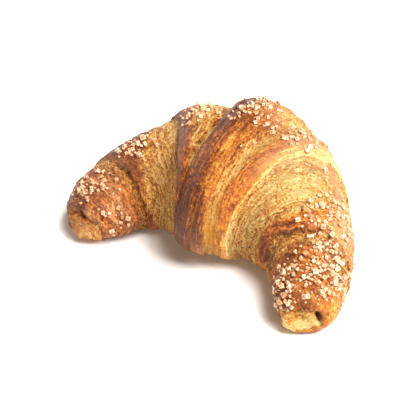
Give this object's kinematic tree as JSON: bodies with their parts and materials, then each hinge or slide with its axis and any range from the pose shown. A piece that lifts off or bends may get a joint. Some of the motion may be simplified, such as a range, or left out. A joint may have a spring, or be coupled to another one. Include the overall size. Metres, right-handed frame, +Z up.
{
  "type": "sugared croissant",
  "caption": "Baked croissant: a crescent of rolled, layered dough with a browned crust, a tongue over its middle, blunt horns and coarse sugar baked on top.",
  "frame": {"origin": "on the surface it lies on, under the middle of the footprint's bounding box", "axes": "+X from the left horn to the right horn, +Y towards the rounded back, +Z up; the horns point to -Y"},
  "size_m": [0.1587, 0.107, 0.07],
  "materials": {
    "crust": "egg-washed baked crust, golden where it stretched and deep brown on the ridges, with coarse translucent sugar"
  },
  "bodies": {
    "root": {"croissant": "crust"}
  },
  "joints": []
}
